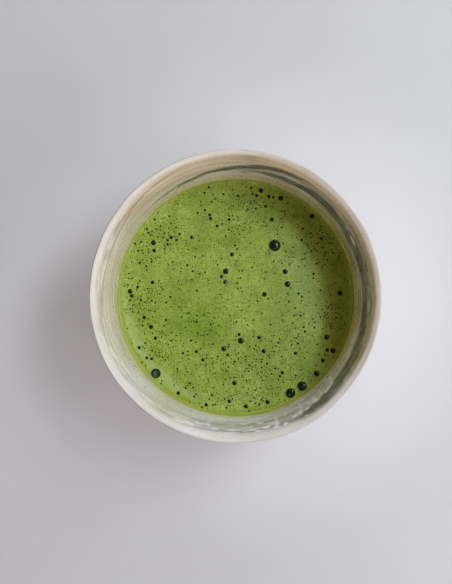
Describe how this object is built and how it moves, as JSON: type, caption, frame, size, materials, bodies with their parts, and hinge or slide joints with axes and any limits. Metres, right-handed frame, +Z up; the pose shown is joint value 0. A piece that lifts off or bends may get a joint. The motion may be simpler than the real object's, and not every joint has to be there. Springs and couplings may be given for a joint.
{
  "type": "matcha bowl",
  "caption": "Hand-thrown stoneware tea bowl with brushed white slip, a rounded lip and a ring foot, holding whisked matcha whose froth and bubbles swirl about the bowl's axis.",
  "frame": {"origin": "centre of the foot's bottom plane, on the bowl's axis", "axes": "+Z up along the bowl's axis; +X to the right and +Y to the top of a view straight down into the bowl"},
  "size_m": [0.1206, 0.1206, 0.075],
  "materials": {
    "slip_glaze": "gloss",
    "bare_clay": "matte",
    "matcha_liquid": "polished",
    "matcha_froth": "satin",
    "bubble_film": "polished"
  },
  "bodies": {
    "bowl": {"bowl_body": "slip_glaze", "foot_ring": "bare_clay"},
    "tea": {"matcha_tea": "matcha_liquid", "matcha_foam": "matcha_froth", "bubble_01": "bubble_film", "bubble_02": "bubble_film", "bubble_03": "bubble_film", "bubble_04": "bubble_film", "bubble_05": "bubble_film", "bubble_06": "bubble_film", "bubble_07": "bubble_film", "bubble_08": "bubble_film", "bubble_09": "bubble_film", "bubble_10": "bubble_film", "bubble_11": "bubble_film", "bubble_12": "bubble_film"}
  },
  "joints": [
    {"name": "tea_swirl", "type": "hinge", "parent": "bowl", "child": "tea", "pos_m": [0, 0, 0.041], "axis": [0, 0, 1], "continuous": true}
  ]
}
